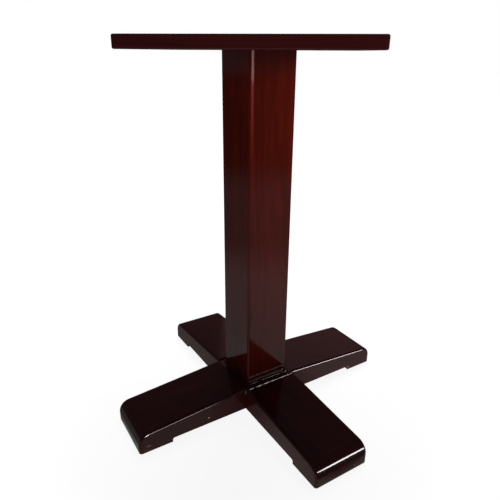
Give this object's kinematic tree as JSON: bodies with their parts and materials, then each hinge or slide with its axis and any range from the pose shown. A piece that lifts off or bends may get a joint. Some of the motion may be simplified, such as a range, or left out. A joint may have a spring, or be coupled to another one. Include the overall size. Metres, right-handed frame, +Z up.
{
  "type": "pedestal stand",
  "caption": "Wooden pedestal stand: tapered rails crossed in a half-lap, a square hollow post and a square top board, held by a tie rod, in dark gloss lacquer.",
  "frame": {"origin": "on the floor, under the middle of the post", "axes": "+Z up; +X along the upper rail, whose top runs unbroken through the crossing; +Y along the lower rail"},
  "size_m": [0.61, 0.61, 0.762],
  "materials": {
    "board_lacquer": "dark mahogany stain under gloss lacquer, edges rounded",
    "post_lacquer": "mahogany stain under gloss lacquer, upright grain showing through",
    "rail_lacquer": "near-black mahogany stain under gloss lacquer, grain along each rail",
    "bare_wood": "bare beech, glued",
    "zinc_steel": "zinc-plated steel",
    "nylon": "dark moulded nylon, smooth"
  },
  "bodies": {
    "root": {"top_board": "board_lacquer", "board_screws": "zinc_steel", "top_nut": "zinc_steel", "top_washer": "zinc_steel", "tie_rod": "zinc_steel", "post_front": "post_lacquer", "post_right": "post_lacquer", "post_back": "post_lacquer", "post_left": "post_lacquer", "post_top_block": "bare_wood", "post_bottom_block": "bare_wood", "post_dowels": "bare_wood", "upper_rail": "rail_lacquer", "lower_rail": "rail_lacquer", "rail_screws": "zinc_steel", "bottom_washer": "zinc_steel", "bottom_nut": "zinc_steel", "glide_front_left": "nylon", "glide_front_right": "nylon", "glide_right_front": "nylon", "glide_right_back": "nylon", "glide_back_right": "nylon", "glide_back_left": "nylon", "glide_left_back": "nylon", "glide_left_front": "nylon"}
  },
  "joints": []
}
